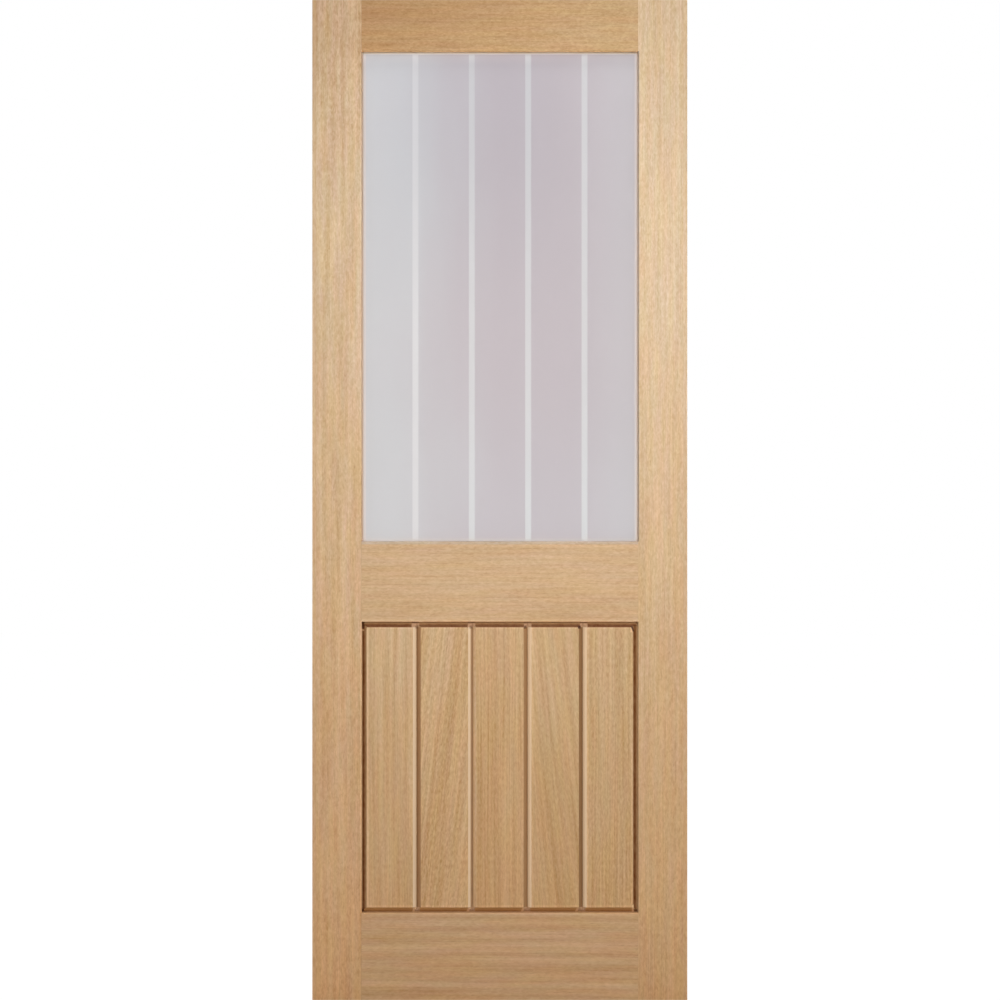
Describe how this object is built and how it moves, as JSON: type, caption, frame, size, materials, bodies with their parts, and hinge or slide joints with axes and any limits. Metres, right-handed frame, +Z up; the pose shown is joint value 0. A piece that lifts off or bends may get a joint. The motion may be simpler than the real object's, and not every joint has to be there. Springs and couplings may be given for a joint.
{
  "type": "half glazed door leaf",
  "caption": "Wooden door leaf with a satin glass light above a lock rail and a V jointed boarded panel below.",
  "frame": {"origin": "foot of the hinge edge face, in the middle of the leaf's thickness", "axes": "+X from the hinge edge to the lock edge, -Y out of the face in the picture, +Z up the leaf"},
  "size_m": [0.762, 0.035, 2.032],
  "materials": {
    "oak_stile": "veneered oak, fine sanded, grain upright",
    "oak_rail": "veneered oak, fine sanded, grain across",
    "oak_lipping": "solid oak, fine sanded, grain upright",
    "oak_board": "veneered oak boards, fine sanded, grain upright",
    "oak_bead": "solid oak, fine sanded, grain along the bead",
    "satin_glass": "satin, with four clearer upright lines",
    "glazing_tape": "matt closed cell foam",
    "setting_block": "moulded black plastic"
  },
  "bodies": {
    "root": {"hinge_edge_lipping": "oak_lipping", "hinge_stile": "oak_stile", "lock_stile": "oak_stile", "lock_edge_lipping": "oak_lipping", "bottom_rail": "oak_rail", "lock_rail": "oak_rail", "top_rail": "oak_rail", "panel_board_1": "oak_board", "panel_board_2": "oak_board", "panel_board_3": "oak_board", "panel_board_4": "oak_board", "panel_board_5": "oak_board", "glass_pane": "satin_glass", "front_glazing_tape": "glazing_tape", "back_glazing_tape": "glazing_tape", "setting_block_hinge_side": "setting_block", "setting_block_lock_side": "setting_block", "glazing_bead_bottom": "oak_bead", "glazing_bead_top": "oak_bead", "glazing_bead_hinge_side": "oak_bead", "glazing_bead_lock_side": "oak_bead"}
  },
  "joints": []
}
